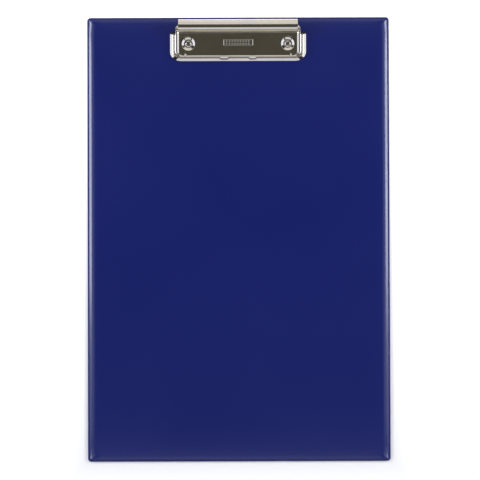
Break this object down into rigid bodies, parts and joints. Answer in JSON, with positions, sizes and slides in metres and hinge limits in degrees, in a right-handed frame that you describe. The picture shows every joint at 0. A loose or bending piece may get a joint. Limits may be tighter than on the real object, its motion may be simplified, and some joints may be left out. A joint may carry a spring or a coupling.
{
  "type": "clipboard",
  "caption": "Flat foil-covered writing board with a riveted, spring-loaded lever clip across its top edge.",
  "frame": {"origin": "middle of the board's back face, on the surface the board lies on", "axes": "+X across the board, +Y along the board towards the clip, +Z out of the front face"},
  "size_m": [0.23, 0.338, 0.017],
  "materials": {
    "greyboard": "matte",
    "navy_foil": "satin",
    "nickel_plate": "polished",
    "steel_wire": "satin"
  },
  "bodies": {
    "board": {"board_core": "greyboard", "front_cover": "navy_foil", "back_cover": "navy_foil", "base_plate": "nickel_plate", "hinge_pin": "steel_wire", "left_spring": "steel_wire", "right_spring": "steel_wire", "left_rivet": "nickel_plate", "right_rivet": "nickel_plate", "left_washer": "nickel_plate", "right_washer": "nickel_plate"},
    "jaw": {"jaw_plate": "nickel_plate"}
  },
  "joints": [
    {"name": "jaw_hinge", "type": "hinge", "parent": "board", "child": "jaw", "pos_m": [0, 0.1593, 0.0066], "axis": [-1, 0, 0], "range_deg": [0, 30], "stiffness_Nm_per_rad": 0.2, "springref_deg": -68.75, "deforming": ["left_spring", "right_spring"]}
  ]
}
